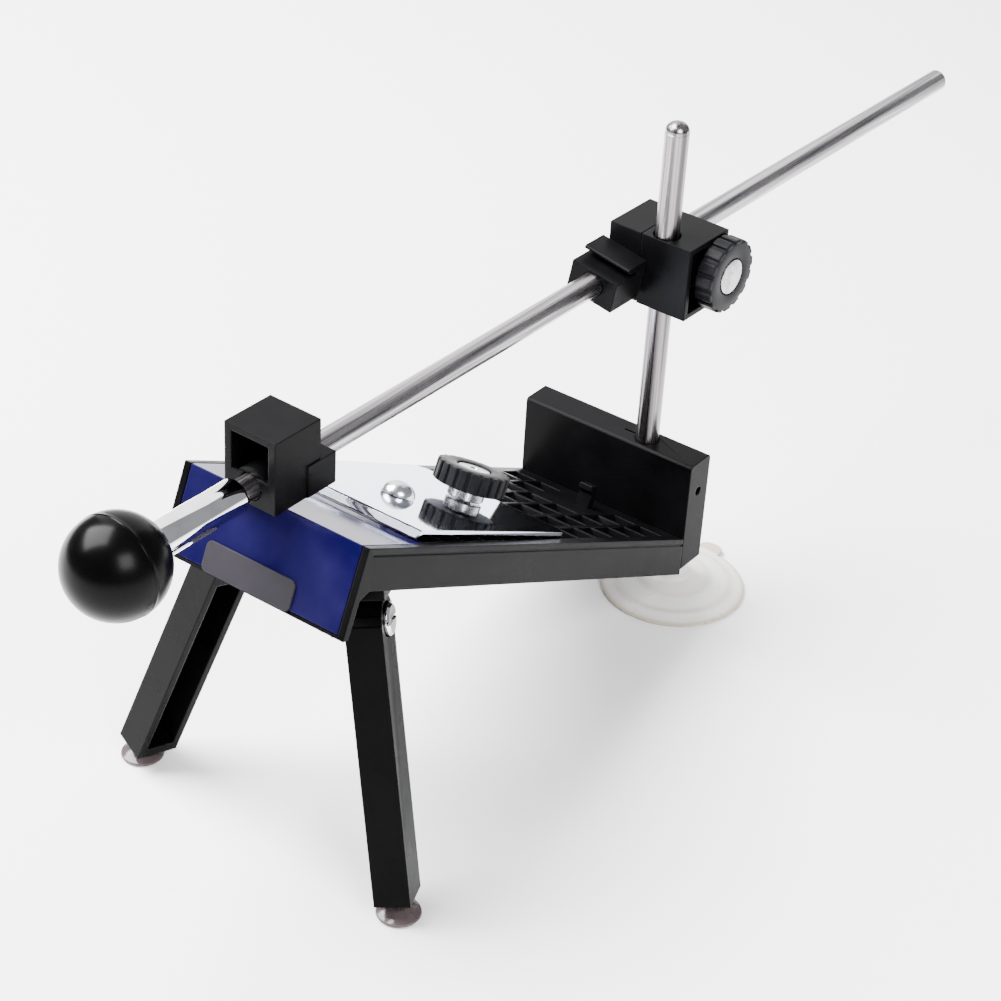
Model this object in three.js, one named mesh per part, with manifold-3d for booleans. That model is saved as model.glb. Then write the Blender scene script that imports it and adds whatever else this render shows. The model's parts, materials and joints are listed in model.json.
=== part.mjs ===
// Fixed-angle honing guide: a sloping blade tray on two folding legs and a suction cup, with an
// upright guide post, a clamped carriage, a tilting swivel block and a sliding rod that carries
// the two stone holders. Millimetres, +Z up. Pieces are placed from the point on the ground
// under the middle of the tray's front ridge, and +Y runs from the ridge towards the post.
import * as THREE from "three";
import { mergeVertices } from "three/addons/utils/BufferGeometryUtils.js";
import Module from "manifold-3d";

const wasm = await Module();
wasm.setup();

// ---- driving dimensions ----
const ridgeHeight = 122;
const bedPitch = THREE.MathUtils.degToRad(26.6);
const bedLength = 193.6;
const trayWidth = 69;
const railDepth = 13.1;
const railThickness = 3;
const floorDepth = 8;
const floorThickness = 1.6;
const ribThickness = 1.6;
const apronLength = 28.3;
const apronThickness = 2.6;
const apronLean = THREE.MathUtils.degToRad(22.9);
const coverThickness = 0.8;
const coverWidth = 64;
const coverTopLength = 30.4;

const blockThickness = 12;
const blockFront = 173.1;
const blockTop = 64.5;
const blockBottom = 22.9;

const postX = 12.4;
const postY = 179.1;
const postRadius = 4;
const postTop = 182.9;
const postBottom = 27;

const restYaw = THREE.MathUtils.degToRad(-1.27);
const carriage = { left: -6.5, right: 12.6, front: -4.9, back: 17.4, top: 142.7, bottom: 117.1 };
const swivelLeft = -19.2;
const knobAxis = { y: 11.2, z: 129.9 };
const rodX = -13;
const rodZ = 128.2;
const rodRadius = 4;
const rodBack = 204;
const ballCentre = -237.2;
const ballRadius = 15.5;

const plateWidth = 60;
const plateFront = -30.3;
const plateBack = 56.2;
const plateThickness = 1.2;
const platePitch = THREE.MathUtils.degToRad(-1.1);
const plateSeat = 1.6;
const boltU = 61.8;
const boltHead = { radius: 5.4, height: 4.2 };
const knobX = 1.6;
const knobU = 98.3;
const knobBottom = 5.9;
const knobTop = 12.9;

const legLength = 88;
const legWidth = 11.2;
const legDepth = 14.8;
const cheekThickness = 5;
const legPivot = new THREE.Vector3(26.7, 10.2, 88.5);
const legStances = {
  right: { side: 1, spread: 16.2, forward: 9.2, turn: 25.5, foot: [52.4, -3.9] },
  left: { side: -1, spread: 18.8, forward: 5.8, turn: 13.3, foot: [-57, 1.2] },
};

const cupX = 21;
const cupY = 192;
const cupRadius = 25.8;
const tabAngle = 92;

const footRadius = 7;
const bracketScrewY = 179;
const lockHeight = 52.4;
const pegAt = { x: 2.6, u: 176.3 };
const pegWidth = 5.2;
const badge = { x: -2, along: 23, width: 33.4, height: 9.6 };
const rearRoll = THREE.MathUtils.degToRad(10);

const gap = 0.3;
const headRadius = 7.2;
const pinHole = 2.1;
const boltHole = 2.3;
const smallHole = 1.8;
const knobHole = 2.5;

// ---- materials ----
const finish = (name, color, roughness, metalness) =>
  new THREE.MeshStandardMaterial({ name, color, roughness, metalness });
const mats = {
  black: finish("black_plastic", 0x1b1b1e, 0.42, 0),
  blue: finish("blue_enamel", 0x1f2fa0, 0.25, 0.2),
  grey: finish("grey_label", 0x5a555e, 0.6, 0),
  chrome: finish("chrome", 0xd8d8dc, 0.1, 1),
  steel: finish("bare_steel", 0xb8b6b8, 0.32, 1),
  gloss: finish("gloss_black", 0x0a0a0b, 0.15, 0),
  rubber: finish("clear_rubber", 0xe6e2d8, 0.35, 0),
};

// ---- solids ----
function solid(geometry) {
  const g = geometry.clone();
  g.deleteAttribute("normal");
  g.deleteAttribute("uv");
  const merged = mergeVertices(g, 1e-4);
  const corners = merged.attributes.position.count;
  const index = merged.index ? merged.index.array : Uint32Array.from({ length: corners }, (_, i) => i);
  const mesh = new wasm.Mesh({
    numProp: 3,
    vertProperties: new Float32Array(merged.attributes.position.array),
    triVerts: new Uint32Array(index),
  });
  return new wasm.Manifold(mesh);
}

function geometryOf(body) {
  const mesh = body.getMesh();
  const g = new THREE.BufferGeometry();
  g.setAttribute("position", new THREE.BufferAttribute(new Float32Array(mesh.vertProperties), 3));
  g.setIndex(new THREE.BufferAttribute(new Uint32Array(mesh.triVerts), 1));
  g.computeVertexNormals();
  return g;
}

function join(first, ...others) {
  return others.reduce((whole, piece) => whole.add(piece), first);
}

function cut(first, ...others) {
  return others.reduce((whole, piece) => whole.subtract(piece), first);
}

// A box between two corners.
function box(x0, x1, y0, y1, z0, z1) {
  const g = new THREE.BoxGeometry(x1 - x0, y1 - y0, z1 - z0);
  g.translate((x0 + x1) / 2, (y0 + y1) / 2, (z0 + z1) / 2);
  return solid(g);
}

// A side profile in Y and Z, extruded along X and centred on it.
function prismX(points, width, x = 0) {
  const shape = new THREE.Shape(points.map(([y, z]) => new THREE.Vector2(y, z)));
  const g = new THREE.ExtrudeGeometry(shape, { depth: width, bevelEnabled: false });
  g.applyMatrix4(new THREE.Matrix4().makeBasis(
    new THREE.Vector3(0, 1, 0), new THREE.Vector3(0, 0, 1), new THREE.Vector3(1, 0, 0)));
  g.translate(x - width / 2, 0, 0);
  return solid(g);
}

// A plan outline in X and Y, extruded upwards.
function prismZ(points, z0, z1) {
  const shape = new THREE.Shape(points.map(([x, y]) => new THREE.Vector2(x, y)));
  const g = new THREE.ExtrudeGeometry(shape, { depth: z1 - z0, bevelEnabled: false });
  g.translate(0, 0, z0);
  return solid(g);
}

// A turned body: [radius, height] pairs from axis to axis, turned about Z.
function turned(profile, sides = 32) {
  const g = new THREE.LatheGeometry(profile.map(([r, h]) => new THREE.Vector2(r, h)), sides);
  g.rotateX(Math.PI / 2);
  return solid(g);
}

function rod(radius, z0, z1, sides = 32) {
  return turned([[0, z0], [radius, z0], [radius, z1], [0, z1]], sides);
}

// Turn a solid made along Z so that it points along +X or +Y.
const alongX = (body) => body.transform(new THREE.Matrix4().makeRotationY(Math.PI / 2).toArray());
const alongY = (body) => body.transform(new THREE.Matrix4().makeRotationX(-Math.PI / 2).toArray());

// A fluted hand knob about Z, from z0 to z1.
function flutedKnob(radius, z0, z1, flutes, notch) {
  const edge = 0.7;
  let body = turned([
    [0, z0], [radius - edge, z0], [radius, z0 + edge],
    [radius, z1 - edge], [radius - edge, z1], [0, z1],
  ], 60);
  for (let i = 0; i < flutes; i += 1) {
    const a = (i / flutes) * Math.PI * 2;
    const groove = rod(notch, z0 - 1, z1 + 1, 8).translate(
      (radius + notch * 0.35) * Math.cos(a), (radius + notch * 0.35) * Math.sin(a), 0);
    body = body.subtract(groove);
  }
  return body;
}

function named(name, body, material) {
  const mesh = new THREE.Mesh(geometryOf(body), material);
  mesh.name = name;
  return mesh;
}

// ---- tray: bed coordinates are X across, Y down the slope from the ridge, Z off the bed ----
const half = trayWidth / 2;
const apronTilt = bedPitch - apronLean;

// A point on the apron's outer face, measured down from the ridge, then out from the face.
function apronPoint(along, out = 0) {
  return [
    Math.sin(apronTilt) * along - Math.cos(apronTilt) * out,
    -Math.cos(apronTilt) * along - Math.sin(apronTilt) * out,
  ];
}

function pocketCutters() {
  const columns = 6;
  const rows = 13;
  const firstRow = 32;
  const lastRow = bedLength - 9;
  const pitchX = (trayWidth - 2 * railThickness) / columns;
  const pitchY = (lastRow - firstRow) / rows;
  const wall = ribThickness / 2;
  const cutters = [];
  for (let i = 0; i < columns; i += 1) {
    for (let j = 0; j < rows; j += 1) {
      const x = -half + railThickness + i * pitchX;
      const y = firstRow + j * pitchY;
      const onWeb = (i === 2 || i === 3) && (j < 4 || (j > 4 && j < 8) || j > 10);
      if (!onWeb) {
        cutters.push(box(x + wall, x + pitchX - wall, y + wall, y + pitchY - wall,
          floorThickness - floorDepth, 1));
      }
    }
  }
  return cutters;
}

// A lug under the tray that carries one leg: a rounded cheek inside the leg and a roof over its head.
function legLug(stance) {
  const reach = 30;
  const cheekRadius = 5.2;
  const inner = -stance.side * (legWidth / 2 + gap);
  const far = inner - stance.side * cheekThickness;
  const outer = stance.side * (legWidth / 2 + 1.6);
  const [low, high] = [Math.min(inner, far), Math.max(inner, far)];
  const web = box(low, high, -cheekRadius, cheekRadius, 0, reach);
  const eye = alongX(rod(cheekRadius, low, high, 32));
  const roof = box(Math.min(far, outer), Math.max(far, outer), -legDepth / 2, legDepth / 2,
    headRadius + 0.8, reach);
  const hole = alongX(rod(pinHole, -reach, reach, 20));
  return join(web, eye, roof).subtract(hole).transform(bedFromLeg(stance).toArray());
}

function trayBody() {
  const back = blockFront - gap;
  const slope = Math.tan(bedPitch);
  const backAt = (h) => back / Math.cos(bedPitch) - h * slope;
  const shell = prismX([
    apronPoint(0), apronPoint(apronLength), apronPoint(apronLength, -apronThickness),
    apronPoint(railDepth + 3, -apronThickness), [7, -railDepth],
    [backAt(-railDepth), -railDepth], [backAt(0), 0],
  ], trayWidth);
  const inside = trayWidth - 2 * railThickness;
  const underside = prismX([
    apronPoint(floorDepth, -apronThickness), [230, -floorDepth], [230, -40], [9, -40],
    apronPoint(apronLength + 9, -apronThickness),
  ], inside);
  const grooves = [-1, 1].map((s) => box(s * half - 0.35, s * half + 0.35, 3, 230, -2.5, -1.8));
  const bores = [
    rod(boltHole, -20, 5, 20).translate(0, boltU, 0),
    rod(knobHole + 0.1, -20, 5, 20).translate(knobX, knobU, 0),
  ];
  const d = coverThickness + gap;
  const recess = prismX([
    apronPoint(apronLength - 0.8, 2), apronPoint(apronLength - 0.8, -d), apronPoint(d, -d),
    [coverTopLength + gap, -d], [coverTopLength + gap, 2], apronPoint(-2, 2),
  ], coverWidth + 2 * gap);
  const lugZone = prismX([[-6, -floorDepth + 0.5], [60, -floorDepth + 0.5], [60, -60], [-6, -60]],
    trayWidth - 0.2);
  const lugs = Object.values(legStances).map((s) => legLug(s).intersect(lugZone));
  const pegHole = pegSlot().translate(pegAt.x, pegAt.u, 0);
  return join(cut(shell, underside, recess, ...grooves, ...pocketCutters(), ...bores, pegHole), ...lugs);
}

function apronCover() {
  const t = coverThickness;
  return prismX([
    apronPoint(apronLength - 1.1), apronPoint(apronLength - 1.1, -t), apronPoint(t, -t),
    [coverTopLength, -t], [coverTopLength, 0], [0, 0],
  ], coverWidth);
}

// A blank badge that stands on the apron, low down and a little to the left.
function apronBadge() {
  const r = 2;
  const w = badge.width / 2;
  const h = badge.height / 2;
  const shape = new THREE.Shape();
  shape.moveTo(-w + r, -h);
  shape.lineTo(w - r, -h);
  shape.absarc(w - r, -h + r, r, -Math.PI / 2, 0);
  shape.absarc(w - r, h - r, r, 0, Math.PI / 2);
  shape.absarc(-w + r, h - r, r, Math.PI / 2, Math.PI);
  shape.absarc(-w + r, -h + r, r, Math.PI, Math.PI * 1.5);
  const g = new THREE.ExtrudeGeometry(shape, { depth: 0.5, bevelEnabled: false, curveSegments: 4 });
  g.rotateX(Math.PI / 2 + apronTilt);
  const [y, z] = apronPoint(badge.along, gap + 0.02);
  g.translate(badge.x, y, z);
  return solid(g);
}

// ---- hooked blade stop, standing in the bed ----
const pegHalf = 1.6;

function pegSlot() {
  const w = pegWidth / 2 + gap;
  return box(-w, w, -pegHalf - gap, pegHalf + gap, -5, 1);
}

function stopPeg() {
  const [shoulder, top] = [5, 8];
  const upright = box(-pegWidth / 2, pegWidth / 2, -pegHalf, pegHalf, -4.6, top - 1);
  const hook = prismX([
    [-pegHalf, shoulder], [-2 * pegHalf, shoulder + 1], [-2 * pegHalf, top],
    [pegHalf, top], [pegHalf, shoulder],
  ], pegWidth);
  return join(upright, hook);
}

// ---- clamp plate and its screws: plate coordinates start at the bolt, under the plate ----
function clampPlate() {
  const w = plateWidth / 2;
  const c = 3; // corner cut
  const t = plateThickness;
  const flat = prismZ([
    [-w, plateFront], [w, plateFront], [w, plateBack - c], [w - c, plateBack],
    [-w + c, plateBack], [-w, plateBack - c],
  ], 0, t);
  const lip = prismX([
    [plateFront + 1, t], [plateFront - 2.6, -1], [plateFront - 2.4, -1.4], [plateFront - 0.9, -1.2],
    [plateFront + 1.2, 0],
  ], plateWidth);
  const holes = [
    rod(2.6, -5, 9, 24),
    rod(3, -5, 9, 24).translate(knobX, knobU - boltU, 0),
  ];
  return cut(join(flat, lip), ...holes);
}

const boltSeat = plateSeat + plateThickness + gap;
const boltEnd = -10;

function domeBolt() {
  const shank = 2;
  const { radius, height } = boltHead;
  const profile = [[0, boltEnd], [shank, boltEnd], [shank, boltSeat], [radius, boltSeat]];
  for (let angle = 15; angle < 90; angle += 15) {
    const a = THREE.MathUtils.degToRad(angle);
    profile.push([radius * Math.cos(a), boltSeat + height * Math.sin(a)]);
  }
  profile.push([0, boltSeat + height]);
  return turned(profile, 32).translate(0, boltU, 0);
}

const nutWidth = 7;

function hexNut(hole, across, z0, z1) {
  const r = across / Math.sqrt(3);
  const corners = [0, 1, 2, 3, 4, 5].map((i) => {
    const a = (i * Math.PI) / 3;
    return [r * Math.cos(a), r * Math.sin(a)];
  });
  return prismZ(corners, z0, z1).subtract(rod(hole, z0 - 1, z1 + 1, 20));
}

const knobSeat = 2.6;

function plateKnob() {
  const [radius, ribCount, notch] = [12, 20, 1.2];
  const well = rod(5.7, knobTop - 2, knobTop + 2, 32);
  const bore = rod(knobHole, 0, 20, 20);
  return cut(flutedKnob(radius, knobBottom + gap, knobTop, ribCount, notch), well, bore);
}

function plateStud() {
  const [shank, collar, insert] = [2.2, 6, 5.4];
  const [insertLow, insertTop] = [knobTop - 1.7, knobTop - 0.3];
  return turned([
    [0, -11], [shank, -11], [shank, knobSeat], [collar, knobSeat], [collar, knobBottom],
    [shank, knobBottom], [shank, insertLow], [insert, insertLow], [insert, insertTop], [0, insertTop],
  ], 32);
}

// ---- rear block that holds the guide post ----
function postBlock() {
  const c = 0.8;
  const back = blockFront + blockThickness;
  const outline = prismX([
    [blockFront, blockBottom], [back, blockBottom], [back, blockTop - c], [back - c, blockTop],
    [blockFront + c, blockTop], [blockFront, blockTop - c],
  ], trayWidth);
  const bore = rod(postRadius + gap, postBottom - gap, 90, 32).translate(postX, postY, 0);
  const slit = box(postX - 9, postX - 3, postY - 0.5, postY + 0.5, blockTop - 6, blockTop + 1);
  const lockBore = alongX(rod(1.6, postX, half + 1, 16)).translate(0, postY, lockHeight);
  const bracketBore = rod(1.8, blockBottom - 1, blockBottom + 10, 16).translate(cupX, bracketScrewY, 0);
  return cut(outline, bore, slit, lockBore, bracketBore);
}

function arcPoints(x, y, r, from, to, steps) {
  const points = [];
  for (let i = 0; i <= steps; i += 1) {
    const a = from + ((to - from) * i) / steps;
    points.push([x + r * Math.cos(a), y + r * Math.sin(a)]);
  }
  return points;
}

const tongueThickness = 3;

// A tongue under the rear block that reaches back to the suction cup.
function cupBracket() {
  const top = blockBottom - gap;
  const halfWidth = 6.5;
  const tongue = prismZ([
    [cupX - halfWidth, blockFront + 1], [cupX + halfWidth, blockFront + 1],
    ...arcPoints(cupX, cupY, halfWidth, 0, Math.PI, 12),
  ], top - tongueThickness, top);
  return tongue
    .subtract(rod(boltHole, 0, 40, 20).translate(cupX, cupY, 0))
    .subtract(rod(smallHole, 0, 40, 16).translate(cupX, bracketScrewY, 0));
}

function bracketScrew() {
  const [shank, head] = [1.5, 3];
  const seat = blockBottom - gap - tongueThickness - gap;
  const end = blockBottom + 7.7;
  return turned([
    [0, seat - 1.7], [head, seat - 1.7], [head, seat], [shank, seat], [shank, end], [0, end],
  ], 20).translate(cupX, bracketScrewY, 0);
}

function rearCup() {
  const r = cupRadius;
  return turned([
    [0, 2.6], [r * 0.45, 2.3], [r * 0.8, 1.1], [r - 0.6, 0], [r, 0.4], [r * 0.98, 1.1],
    [r * 0.78, 2.8], [r * 0.72, 4], [r * 0.42, 5.4], [6.2, 5.8], [6.2, 7], [4.6, 8], [4.6, 15.5],
    [5.6, 16.2], [5.6, 18.6], [2.4, 18.6], [2.4, 11], [0, 11],
  ], 48).translate(cupX, cupY, 0);
}

function pullTab() {
  const round = 4.5;
  const [root, centre] = [cupRadius - 3, cupRadius + 2];
  const tab = prismZ([
    [root, -round], ...arcPoints(centre, 0, round, -Math.PI / 2, Math.PI / 2, 8), [root, round],
  ], 0.5, 1.6);
  const turn = new THREE.Matrix4().makeRotationZ(THREE.MathUtils.degToRad(tabAngle));
  return tab.transform(turn.toArray()).translate(cupX, cupY, 0);
}

function cupStud() {
  return turned([[0, 11.4], [2, 11.4], [2, 29], [0, 29]], 20).translate(cupX, cupY, 0);
}

function cupNut() {
  return hexNut(boltHole, nutWidth, blockBottom, blockBottom + 3).translate(cupX, cupY, 0);
}

// ---- guide post ----
function guidePost() {
  const r = postRadius;
  const waist = r - 0.8;
  return turned([
    [0, postBottom], [r - 0.5, postBottom], [r, postBottom + 0.5], [r, lockHeight - 2],
    [waist, lockHeight - 1.6], [waist, lockHeight + 1.6], [r, lockHeight + 2],
    [r, postTop - 3.4], [r * 0.9, postTop - 1.9], [r * 0.62, postTop - 0.7],
    [r * 0.3, postTop - 0.1], [0, postTop],
  ], 32);
}

function postScrew() {
  const tip = postX + postRadius - 0.4;
  const [radius, length] = [1.3, 8];
  const screw = turned([
    [0, tip], [radius - 0.4, tip], [radius, tip + 0.6], [radius, tip + length], [0, tip + length],
  ], 16);
  return alongX(screw).translate(0, postY, lockHeight);
}

// ---- carriage, its clamp and the swivel block: post coordinates, post axis at X = Y = 0 ----
const pivotHole = 2.8;

function carriageBlock() {
  const c = carriage;
  const wall = 1.9;
  const outer = box(c.left, c.right, c.front, c.back, c.bottom, c.top);
  const side = box(5.6, c.right + 1, c.front + wall, c.back - wall, c.bottom + wall, c.top - wall);
  const rear = box(c.left + wall, c.right + 1, 4.7, c.back - wall, c.bottom + wall, c.top - wall);
  const bore = rod(postRadius + gap, c.bottom - 1, c.top + 1, 32);
  const mouth = turned([
    [0, c.top - 0.8], [postRadius + gap, c.top - 0.8], [postRadius + 0.9, c.top + 0.2], [0, c.top + 0.2],
  ], 32);
  const pivot = alongX(rod(pivotHole, c.left - 1, c.left + wall + 1, 24));
  return cut(outer, side, rear, bore, mouth, pivot.translate(0, knobAxis.y, knobAxis.z));
}

function clampShoe() {
  const block = box(-1.2, 8.6, 5.1, 15, knobAxis.z - 6, knobAxis.z + 6);
  const hollow = rod(postRadius + 1, knobAxis.z - 9, knobAxis.z + 9, 32);
  const thread = alongX(rod(2.4, -5, 12, 20)).translate(0, knobAxis.y, knobAxis.z);
  return cut(block, hollow, thread);
}

const clampBack = carriage.right + gap;
const clampFace = 19.3;

function clampKnob() {
  const [radius, ribCount, notch] = [12.8, 15, 2];
  const well = rod(6.3, clampFace - 1.6, clampFace + 2, 32);
  const bore = rod(knobHole, 0, 40, 20);
  const body = cut(flutedKnob(radius, clampBack, clampFace, ribCount, notch), well, bore);
  return alongX(body).translate(0, knobAxis.y, knobAxis.z);
}

function clampStud() {
  const [shank, insert] = [2.1, 6];
  const [low, top] = [clampFace - 1.3, clampFace + 0.3];
  const stud = turned([[0, 0], [shank, 0], [shank, low], [insert, low], [insert, top], [0, top]], 32);
  return alongX(stud).translate(0, knobAxis.y, knobAxis.z);
}

function swivelBlock() {
  const c = carriage;
  const right = c.left - gap;
  const outer = box(swivelLeft, right, c.front, c.back, c.bottom + 0.4, c.top);
  const bore = alongY(rod(rodRadius + 0.25, -40, 40, 32)).translate(rodX, 0, rodZ);
  const socket = alongX(rod(pivotHole, right - 3.2, right + 1, 24)).translate(0, knobAxis.y, knobAxis.z);
  const rim = 2.2;
  const relief = box(swivelLeft - 1, swivelLeft + 0.8, c.front + rim, c.back - rim,
    c.bottom + rim + 0.6, c.top - rim);
  return cut(outer, bore, socket, relief);
}

function swivelPin() {
  const inner = carriage.left - gap - 2.1;
  const wallInside = carriage.left + 1.9;
  const [shank, head] = [pivotHole - gap, 4.2];
  const [seat, end] = [wallInside + gap, wallInside + 1.5];
  const pin = turned([[0, inner], [shank, inner], [shank, seat], [head, seat], [head, end], [0, end]], 24);
  return alongX(pin).translate(0, knobAxis.y, knobAxis.z);
}

// ---- rod assembly: rod coordinates, Y along the rod from the post's depth, X and Z across ----
function guideRod() {
  const r = rodRadius;
  const start = ballCentre - 4;
  return alongY(turned([[0, start], [r, start], [r, rodBack - 1], [r - 0.9, rodBack], [0, rodBack]], 32));
}

function chromeSleeve() {
  const near = ballCentre + ballRadius - 0.6;
  const open = -190.6;
  const neck = open - 7;
  const [inner, outer] = [rodRadius + gap, 5.5];
  return alongY(turned([
    [inner, near], [outer, near], [outer, open - 0.8], [outer - 0.3, open], [inner + 0.6, open],
    [inner + 0.3, open - 0.6], [inner + 0.3, neck], [inner, neck], [inner, near],
  ], 40));
}

function ballKnob() {
  const profile = [];
  const steps = 20;
  const flat = ballRadius - 0.9;
  const stop = Math.acos(flat / ballRadius);
  for (let i = 0; i <= steps; i += 1) {
    const a = Math.PI - ((Math.PI - stop) * i) / steps;
    profile.push([i === 0 ? 0 : ballRadius * Math.sin(a), ballRadius * Math.cos(a)]);
  }
  const boreEnd = -4.4;
  profile.push([rodRadius + gap, flat], [rodRadius + gap, boreEnd], [0, boreEnd]);
  return alongY(turned(profile, 40).translate(0, 0, ballCentre));
}

const grubY = -165.6;

function frontHolder() {
  const w = 9.6;
  const [front, back, tail] = [-185, -165.9, -159.8];
  const outer = box(-w, w, front, back, -5.8, 18);
  const ledge = box(-w - 0.5, w + 0.5, -171.7, tail, -5.8, 4.7);
  const hollow = box(-7, 7, front - 1, back - 2, 3.6, 16);
  const boss = alongY(rod(6.1, front + 0.6, back - 1, 32));
  const body = join(cut(outer, hollow), boss, ledge);
  const bore = alongY(rod(rodRadius + gap, front - 2, tail + 2, 32));
  const grub = alongX(rod(2.1, -20, -2, 20)).translate(0, grubY, 0);
  return cut(body, bore, grub);
}

function holderScrew() {
  const [outer, tip] = [-9.6, -rodRadius - gap];
  const screw = turned([[0, outer], [smallHole, outer], [smallHole, -5], [1, tip], [0, tip]], 16);
  return alongX(screw).translate(0, grubY, 0);
}

const rearGrubY = -12;

function rearHolder() {
  const w = 9.1;
  const profile = prismX([
    [-22, -6.2], [-6.6, -6.2], [-6.6, 8.2], [-15.8, 8.2], [-16.6, 7.7], [-16.5, 7], [-14.6, 6.4],
    [-11, 6], [-11, 4.6], [-22, 4.6],
  ], 2 * w);
  const bore = alongY(rod(rodRadius + 0.2, -40, 10, 32));
  const grub = rod(1.7, -9, -2, 16).translate(0, rearGrubY, 0);
  return cut(profile, bore, grub);
}

function rearScrew() {
  const [radius, outer, tip] = [1.4, -6, -rodRadius - gap];
  return turned([
    [0, outer], [radius, outer], [radius, tip - 0.5], [0.8, tip], [0, tip],
  ], 16).translate(0, rearGrubY, 0);
}

// ---- legs: leg coordinates, pivot at the origin, X along the pivot, Z up the leg ----
function legFrame({ side, spread, forward, turn }) {
  const rad = THREE.MathUtils.degToRad;
  const down = new THREE.Vector3(
    Math.sin(rad(spread)),
    -Math.sin(rad(forward)) * Math.cos(rad(spread)),
    -Math.cos(rad(forward)) * Math.cos(rad(spread)));
  const out = new THREE.Vector3(1, 0, 0).projectOnPlane(down).normalize().applyAxisAngle(down, -rad(turn));
  const back = new THREE.Vector3().crossVectors(out, down);
  const mirror = new THREE.Vector3(side, 1, 1);
  down.multiply(mirror);
  back.multiply(mirror);
  out.multiply(mirror).multiplyScalar(side);
  const frame = new THREE.Matrix4().makeBasis(out, back, down.clone().negate());
  return frame.setPosition(legPivot.x * side, legPivot.y, legPivot.z);
}

const bedMatrix = new THREE.Matrix4().makeRotationX(-bedPitch).setPosition(0, 0, ridgeHeight);

function bedFromLeg(stance) {
  return bedMatrix.clone().invert().multiply(legFrame(stance));
}

function legBody(side) {
  const [w, d] = [legWidth / 2, legDepth / 2];
  const wall = 2.4;
  const beam = box(-w, w, -d, d, -legLength, 0);
  const head = alongX(rod(headRadius, -w, w, 32));
  const shoulders = box(-w, w, -headRadius, headRadius, -3, 3);
  const inner = side > 0 ? [-w - 1, w - wall] : [-w + wall, w + 1];
  const channel = box(inner[0], inner[1], -d + wall, d - wall, -legLength + 4, -9);
  const pivot = alongX(rod(pinHole, -w - 1, w + 1, 20));
  const sink = alongX(rod(5.4, w - 1, w + 1, 24)).scale([side, 1, 1]);
  const socket = rod(2.4, -legLength - 1, -legLength + 3, 20);
  return cut(join(beam, head, shoulders), channel, pivot, sink, socket);
}

function legScrew(side) {
  const w = legWidth / 2;
  const [shank, head] = [pinHole - gap, 5];
  const [end, top] = [-w - 11.6, w + 1.7];
  const shape = turned([
    [0, end], [shank, end], [shank, w - 0.7], [head, w - 0.7],
    [head, top - 0.8], [head - 0.8, top], [0, top],
  ], 32);
  const slot = box(-0.6, 0.6, -6, 6, w + 0.8, w + 3);
  const turn = new THREE.Matrix4().makeRotationY((side * Math.PI) / 2);
  return shape.subtract(slot).transform(turn.toArray());
}

function legNut(side) {
  const from = legWidth / 2 + cheekThickness + 2 * gap;
  const turn = new THREE.Matrix4().makeRotationY((-side * Math.PI) / 2);
  return hexNut(pinHole, nutWidth, from, from + 3).transform(turn.toArray());
}

// A small suction foot that stands flat on the ground under the leg's end.
function footCup(stance) {
  const r = footRadius;
  const cup = turned([[0, 1.4], [r * 0.6, 0.9], [r - 0.4, 0], [r, 0.3], [r * 0.97, 1], [r * 0.74, 2],
    [3.4, 2.7], [2.6, 3.1], [0, 3.1]], 32).translate(stance.foot[0], stance.foot[1], 0);
  const stem = rod(1.9, -legLength - 3.4, -legLength + 2.6, 20).transform(legFrame(stance).toArray());
  return cup.add(stem);
}

// ---- assembly ----
const guide = new THREE.Group();
const bed = new THREE.Group();
bed.name = "bed_frame";
bed.applyMatrix4(bedMatrix);
bed.add(named("tray", trayBody(), mats.black));
bed.add(named("apron_cover", apronCover(), mats.blue));
bed.add(named("apron_badge", apronBadge(), mats.grey));
const plate = new THREE.Group();
plate.name = "plate_frame";
plate.position.set(0, boltU, plateSeat);
plate.rotation.x = platePitch;
plate.add(named("clamp_plate", clampPlate(), mats.chrome));
bed.add(plate);
bed.add(named("plate_bolt", domeBolt(), mats.chrome));
const boltNut = hexNut(boltHole, nutWidth, boltEnd, -floorDepth - gap).translate(0, boltU, 0);
bed.add(named("plate_bolt_nut", boltNut, mats.steel));
const stop = named("blade_stop", stopPeg(), mats.black);
stop.position.set(pegAt.x, pegAt.u, 0);
bed.add(stop);
const plateTurn = new THREE.Group();
plateTurn.name = "plate_knob_frame";
plateTurn.position.set(knobX, knobU, 0);
plateTurn.add(named("plate_knob", plateKnob(), mats.black));
plateTurn.add(named("plate_knob_stud", plateStud(), mats.steel));
bed.add(plateTurn);
guide.add(bed);

guide.add(named("post_block", postBlock(), mats.black));
guide.add(named("post_screw", postScrew(), mats.steel));
guide.add(named("cup_bracket", cupBracket(), mats.black));
guide.add(named("bracket_screw", bracketScrew(), mats.steel));
guide.add(named("rear_cup", rearCup().add(pullTab()), mats.rubber));
guide.add(named("cup_stud", cupStud(), mats.steel));
guide.add(named("cup_nut", cupNut(), mats.steel));

const upright = new THREE.Group();
upright.name = "post_frame";
upright.position.set(postX, postY, 0);
upright.rotation.z = restYaw;
upright.add(named("guide_post", guidePost(), mats.steel));
upright.add(named("carriage_block", carriageBlock(), mats.black));
upright.add(named("clamp_shoe", clampShoe(), mats.black));
upright.add(named("clamp_knob", clampKnob(), mats.black));
upright.add(named("clamp_stud", clampStud(), mats.steel));
upright.add(named("swivel_block", swivelBlock(), mats.black));
upright.add(named("swivel_pin", swivelPin(), mats.steel));
guide.add(upright);

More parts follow.
